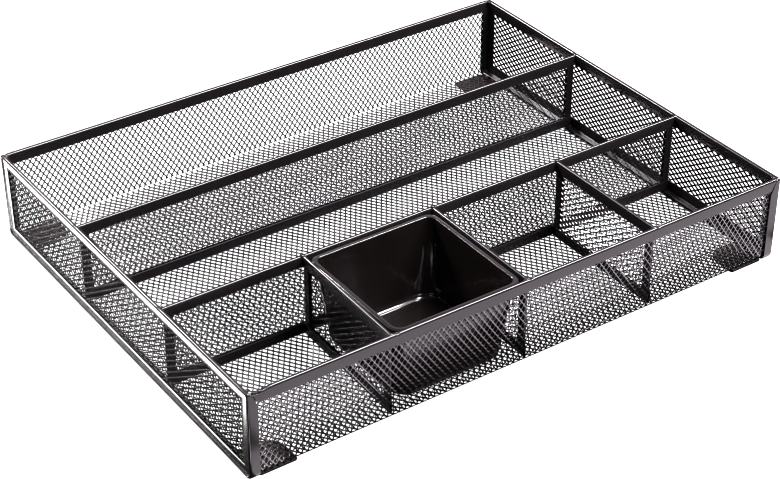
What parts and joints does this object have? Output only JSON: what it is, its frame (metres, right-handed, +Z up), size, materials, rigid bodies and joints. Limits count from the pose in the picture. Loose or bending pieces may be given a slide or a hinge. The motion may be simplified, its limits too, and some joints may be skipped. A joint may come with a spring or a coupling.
{
  "type": "drawer organizer insert",
  "caption": "Shallow steel-mesh drawer insert with folded strip rims, long and cross mesh dividers and a glossy lift-out tray.",
  "frame": {"origin": "middle of the footprint, on the plane that the feet stand on", "axes": "X along the long side, right is +; Y from front (-) to back (+); +Z up"},
  "size_m": [0.387, 0.301, 0.06],
  "materials": {
    "steel_coat": "satin black powder coat on steel strip",
    "mesh_coat": "satin black powder coat on expanded steel",
    "foot_pad": "matt dark brown-black rubber",
    "tray_plastic": "high-gloss black moulded plastic"
  },
  "bodies": {
    "frame": {"left_end_frame": "steel_coat", "right_end_frame": "steel_coat", "left_inner_frame": "steel_coat", "right_inner_frame": "steel_coat", "front_top_rail": "steel_coat", "back_top_rail": "steel_coat", "rear_divider_top_rail": "steel_coat", "rear_divider_bottom_rail": "steel_coat", "rear_divider_start_post": "steel_coat", "rear_divider_end_post": "steel_coat", "front_divider_top_rail": "steel_coat", "front_divider_bottom_rail": "steel_coat", "front_divider_start_post": "steel_coat", "front_divider_end_post": "steel_coat", "cross_divider_1_top_rail": "steel_coat", "cross_divider_1_bottom_rail": "steel_coat", "cross_divider_1_start_post": "steel_coat", "cross_divider_1_end_post": "steel_coat", "cross_divider_2_top_rail": "steel_coat", "cross_divider_2_bottom_rail": "steel_coat", "cross_divider_2_start_post": "steel_coat", "cross_divider_2_end_post": "steel_coat", "cross_divider_3_top_rail": "steel_coat", "cross_divider_3_bottom_rail": "steel_coat", "cross_divider_3_start_post": "steel_coat", "cross_divider_3_end_post": "steel_coat", "body_mesh": "mesh_coat", "left_end_mesh": "mesh_coat", "right_end_mesh": "mesh_coat", "rear_divider_mesh": "mesh_coat", "front_divider_mesh": "mesh_coat", "cross_divider_1_mesh": "mesh_coat", "cross_divider_2_mesh": "mesh_coat", "cross_divider_3_mesh": "mesh_coat", "foot_front_left": "foot_pad", "foot_front_right": "foot_pad", "foot_back_left": "foot_pad", "foot_back_right": "foot_pad"},
    "tray": {"tray": "tray_plastic"}
  },
  "joints": [
    {"name": "tray_lift", "type": "slide", "parent": "frame", "child": "tray", "axis": [0, 0, 1], "range_m": [0, 0.07]}
  ]
}
